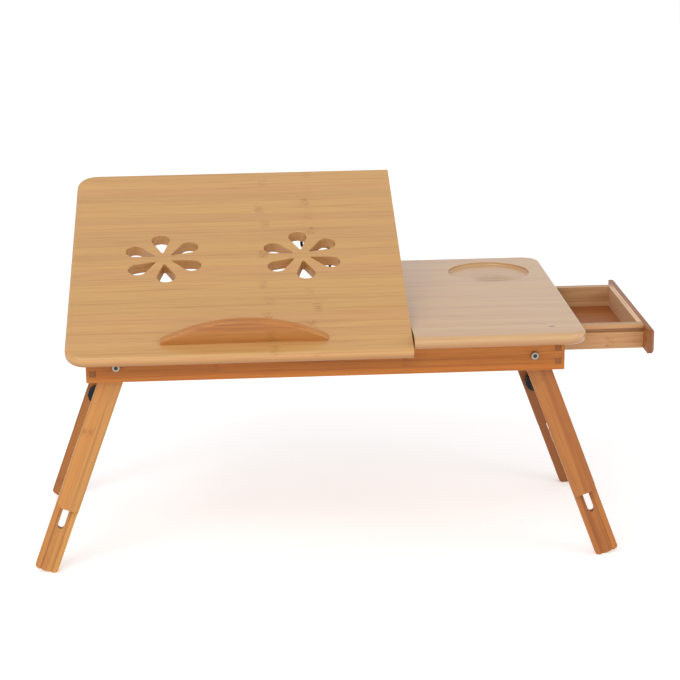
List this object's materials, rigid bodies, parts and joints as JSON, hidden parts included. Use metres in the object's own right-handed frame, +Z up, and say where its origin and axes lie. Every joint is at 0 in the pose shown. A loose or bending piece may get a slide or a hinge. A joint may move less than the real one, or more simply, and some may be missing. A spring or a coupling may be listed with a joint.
{
  "type": "folding laptop stand with drawer",
  "caption": "Folding bamboo bed tray: a tilting vented laptop panel with a book ledge, a fixed side top with a cup recess, a side drawer and splayed folding legs with sliding feet.",
  "frame": {"origin": "middle of the stand's footprint box on the floor, panel raised and drawer open as at rest", "axes": "+X along the stand towards the drawer, +Y from the user's side to the back, +Z up"},
  "size_m": [0.681, 0.3524, 0.3893],
  "materials": {
    "bamboo_panel": "satin lacquered bamboo strips, pale tan",
    "bamboo_top": "satin lacquered bamboo strips, pale tan",
    "bamboo_ledge": "satin lacquered carbonised bamboo",
    "bamboo_frame": "satin lacquered carbonised bamboo",
    "bamboo_leg": "satin lacquered bamboo",
    "bamboo_drawer": "satin lacquered bamboo",
    "black_plastic": "moulded black plastic",
    "zinc_steel": "bright zinc plated steel",
    "hinge_steel": "zinc plated sheet steel",
    "black_wire": "black coated steel wire"
  },
  "bodies": {
    "frame": {"fixed_top": "bamboo_top", "top_dowels": "bamboo_frame", "front_rail": "bamboo_frame", "back_rail": "bamboo_frame", "left_rail": "bamboo_frame", "right_rail": "bamboo_frame", "centre_rail": "bamboo_frame", "rack_board": "bamboo_frame", "runner_front": "bamboo_drawer", "runner_back": "bamboo_drawer", "hinge_rail_leaf_left": "hinge_steel", "hinge_rail_leaf_right": "hinge_steel", "hinge_pins": "hinge_steel", "hinge_rail_screws": "zinc_steel", "pivot_bolts": "zinc_steel", "pivot_washers": "zinc_steel", "pivot_nuts": "zinc_steel"},
    "panel": {"tilt_panel": "bamboo_panel", "ledge": "bamboo_ledge", "ledge_dowels": "bamboo_ledge", "hinge_panel_leaf_left": "hinge_steel", "hinge_panel_leaf_right": "hinge_steel", "hinge_panel_screws": "zinc_steel", "stay_clip_left": "hinge_steel", "stay_clip_right": "hinge_steel", "stay_clip_screws": "zinc_steel"},
    "stay": {"stay": "black_wire"},
    "drawer": {"drawer_plate": "bamboo_drawer", "drawer_front_wall": "bamboo_drawer", "drawer_back_wall": "bamboo_drawer", "drawer_side_front": "bamboo_drawer", "drawer_side_back": "bamboo_drawer", "drawer_floor": "bamboo_drawer", "drawer_dowels": "bamboo_drawer"},
    "leg_front_left": {"upper_leg_front_left": "bamboo_leg", "clamp_stud_front_left": "zinc_steel", "clamp_washer_front_left": "zinc_steel"},
    "foot_front_left": {"lower_leg_front_left": "bamboo_leg"},
    "knob_front_left": {"clamp_knob_front_left": "black_plastic"},
    "leg_front_right": {"upper_leg_front_right": "bamboo_leg", "clamp_stud_front_right": "zinc_steel", "clamp_washer_front_right": "zinc_steel"},
    "foot_front_right": {"lower_leg_front_right": "bamboo_leg"},
    "knob_front_right": {"clamp_knob_front_right": "black_plastic"},
    "leg_back_left": {"upper_leg_back_left": "bamboo_leg", "clamp_stud_back_left": "zinc_steel", "clamp_washer_back_left": "zinc_steel"},
    "foot_back_left": {"lower_leg_back_left": "bamboo_leg"},
    "knob_back_left": {"clamp_knob_back_left": "black_plastic"},
    "leg_back_right": {"upper_leg_back_right": "bamboo_leg", "clamp_stud_back_right": "zinc_steel", "clamp_washer_back_right": "zinc_steel"},
    "foot_back_right": {"lower_leg_back_right": "bamboo_leg"},
    "knob_back_right": {"clamp_knob_back_right": "black_plastic"}
  },
  "joints": [
    {"name": "panel_tilt", "type": "hinge", "parent": "frame", "child": "panel", "pos_m": [-0.11062, -0.14508, 0.25595], "axis": [1, 0, 0], "range_deg": [-22, 0]},
    {"name": "stay_swing", "type": "hinge", "parent": "panel", "child": "stay", "pos_m": [-0.12432, 0.05195, 0.33421], "axis": [1, 0, 0], "range_deg": [-24.1, 0]},
    {"name": "drawer_slide", "type": "slide", "parent": "frame", "child": "drawer", "axis": [1, 0, 0], "range_m": [-0.098, 0.025]},
    {"name": "fold_front_left", "type": "hinge", "parent": "frame", "child": "leg_front_left", "pos_m": [-0.24128, -0.12983, 0.2395], "axis": [0, 1, 0], "range_deg": [-110.5, 0]},
    {"name": "extend_front_left", "type": "slide", "parent": "leg_front_left", "child": "foot_front_left", "axis": [-0.3502, 0, -0.9367], "range_m": [-0.0835, 0.006]},
    {"name": "clamp_front_left", "type": "hinge", "parent": "leg_front_left", "child": "knob_front_left", "pos_m": [-0.28086, -0.11003, 0.13366], "axis": [0, 1, 0], "continuous": true},
    {"name": "fold_front_right", "type": "hinge", "parent": "frame", "child": "leg_front_right", "pos_m": [0.20465, -0.12983, 0.2395], "axis": [0, -1, 0], "range_deg": [-110.5, 0]},
    {"name": "extend_front_right", "type": "slide", "parent": "leg_front_right", "child": "foot_front_right", "axis": [0.3502, 0, -0.9367], "range_m": [-0.0835, 0.006]},
    {"name": "clamp_front_right", "type": "hinge", "parent": "leg_front_right", "child": "knob_front_right", "pos_m": [0.24422, -0.11003, 0.13366], "axis": [0, 1, 0], "continuous": true},
    {"name": "fold_back_left", "type": "hinge", "parent": "frame", "child": "leg_back_left", "pos_m": [-0.24128, 0.13217, 0.2395], "axis": [0, 1, 0], "range_deg": [-110.5, 0]},
    {"name": "extend_back_left", "type": "slide", "parent": "leg_back_left", "child": "foot_back_left", "axis": [-0.3502, 0, -0.9367], "range_m": [-0.0835, 0.006]},
    {"name": "clamp_back_left", "type": "hinge", "parent": "leg_back_left", "child": "knob_back_left", "pos_m": [-0.28086, 0.11237, 0.13366], "axis": [0, -1, 0], "continuous": true},
    {"name": "fold_back_right", "type": "hinge", "parent": "frame", "child": "leg_back_right", "pos_m": [0.20465, 0.13217, 0.2395], "axis": [0, -1, 0], "range_deg": [-110.5, 0]},
    {"name": "extend_back_right", "type": "slide", "parent": "leg_back_right", "child": "foot_back_right", "axis": [0.3502, 0, -0.9367], "range_m": [-0.0835, 0.006]},
    {"name": "clamp_back_right", "type": "hinge", "parent": "leg_back_right", "child": "knob_back_right", "pos_m": [0.24422, 0.11237, 0.13366], "axis": [0, -1, 0], "continuous": true}
  ],
  "couplings": [
    {"joint": "stay_swing", "follows": "panel_tilt", "ratio": 1.0909}
  ]
}
